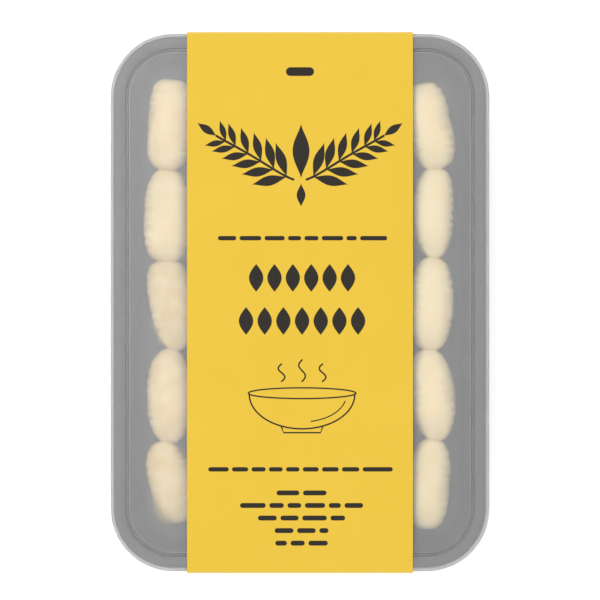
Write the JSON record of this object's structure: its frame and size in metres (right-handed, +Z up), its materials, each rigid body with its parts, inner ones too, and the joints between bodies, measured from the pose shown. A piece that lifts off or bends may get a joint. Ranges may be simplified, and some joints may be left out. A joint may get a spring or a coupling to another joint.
{
  "type": "potato gnocchi pack",
  "caption": "Shut rounded-rectangle tray of potato gnocchi laid in rows, with a frosted lid and a yellow card sleeve round its middle.",
  "frame": {"origin": "centre of the pack's footprint, on the underside of the card sleeve that it rests on", "axes": "+Z up through the lid, +Y along the pack's length towards the top of its print, +X across its width"},
  "size_m": [0.148, 0.2114, 0.0347],
  "materials": {
    "tray_plastic": "satin dark grey thermoformed plastic",
    "lid_plastic": "milky, frosted clear plastic",
    "sleeve_card": "matt yellow card printed in dark grey",
    "dough": "soft potato dough"
  },
  "bodies": {
    "root": {"tray": "tray_plastic", "lid": "lid_plastic", "sleeve": "sleeve_card", "gnocchi_lower_layer": "dough", "gnocco_a1": "dough", "gnocco_a2": "dough", "gnocco_a3": "dough", "gnocco_a4": "dough", "gnocco_a5": "dough", "gnocco_b1": "dough", "gnocco_b2": "dough", "gnocco_b3": "dough", "gnocco_b4": "dough", "gnocco_b5": "dough", "gnocco_c1": "dough", "gnocco_c2": "dough", "gnocco_c3": "dough", "gnocco_c4": "dough", "gnocco_c5": "dough", "gnocco_d1": "dough", "gnocco_d2": "dough", "gnocco_d3": "dough", "gnocco_d4": "dough", "gnocco_d5": "dough", "gnocco_e1": "dough", "gnocco_e2": "dough", "gnocco_e3": "dough", "gnocco_e4": "dough", "gnocco_e5": "dough", "gnocco_f1": "dough", "gnocco_f2": "dough", "gnocco_f3": "dough", "gnocco_f4": "dough", "gnocco_f5": "dough", "gnocco_g1": "dough", "gnocco_g2": "dough", "gnocco_g3": "dough", "gnocco_g4": "dough", "gnocco_g5": "dough"}
  },
  "joints": []
}
